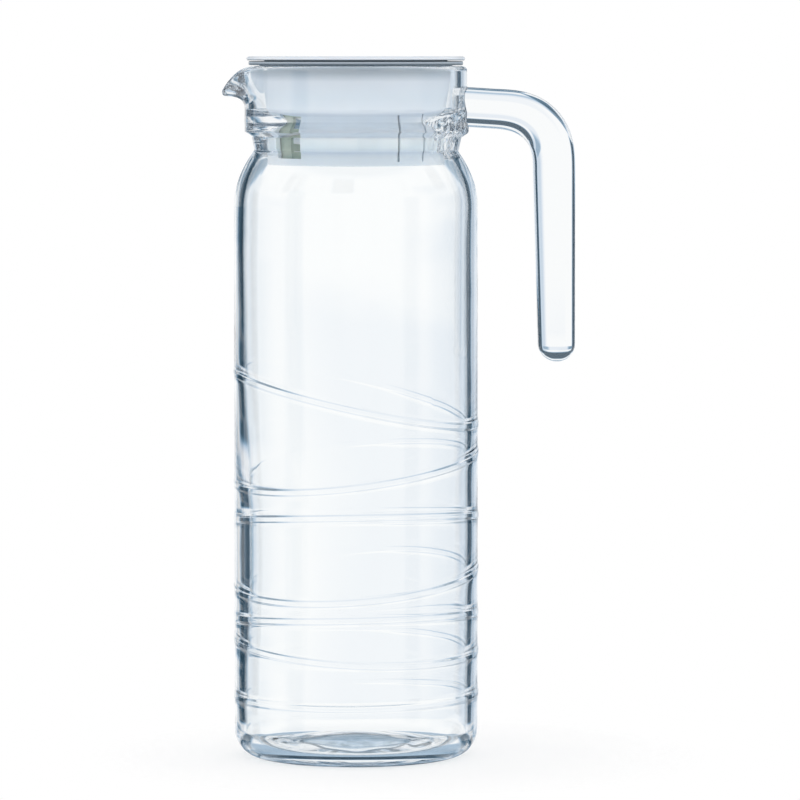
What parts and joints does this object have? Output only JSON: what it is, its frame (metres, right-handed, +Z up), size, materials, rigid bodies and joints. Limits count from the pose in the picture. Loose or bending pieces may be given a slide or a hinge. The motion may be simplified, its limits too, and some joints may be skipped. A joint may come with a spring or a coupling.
{
  "type": "jug with lid",
  "caption": "Tall clear glass jug with a rippled wall, a pulled pouring beak, an open cane handle and a push-in plastic lid whose turning insert opens a pouring window or a strainer.",
  "frame": {"origin": "on the table under the middle of the outline, halfway between the beak's tip and the handle's outer edge; the vessel's axis stands 16.25 mm to the beak side of it", "axes": "+Z up along the vessel's axis, -X towards the pouring beak, +X towards the handle, -Y towards the viewer"},
  "size_m": [0.1344, 0.0938, 0.2674],
  "materials": {
    "clear_glass": "fire polished clear soda-lime glass",
    "handle_glass": "fire polished clear soda-lime glass, applied hot",
    "frosted_plastic": "frosted translucent moulding",
    "lid_insert_plastic": "smooth translucent moulding",
    "shutter_plastic": "grey-green satin moulding"
  },
  "bodies": {
    "jug": {"glass_body": "clear_glass", "glass_handle": "handle_glass"},
    "lid_plug": {"lid_shell": "frosted_plastic"},
    "lid_insert": {"lid_bowl": "lid_insert_plastic", "shutter_sleeve": "shutter_plastic"}
  },
  "joints": [
    {"name": "lid_lift", "type": "slide", "parent": "jug", "child": "lid_plug", "axis": [0, 0, 1], "range_m": [0, 0.06]},
    {"name": "lid_turn", "type": "hinge", "parent": "lid_plug", "child": "lid_insert", "pos_m": [-0.01625, 0, 0.2643], "axis": [0, 0, 1], "range_deg": [-15, 70]}
  ]
}
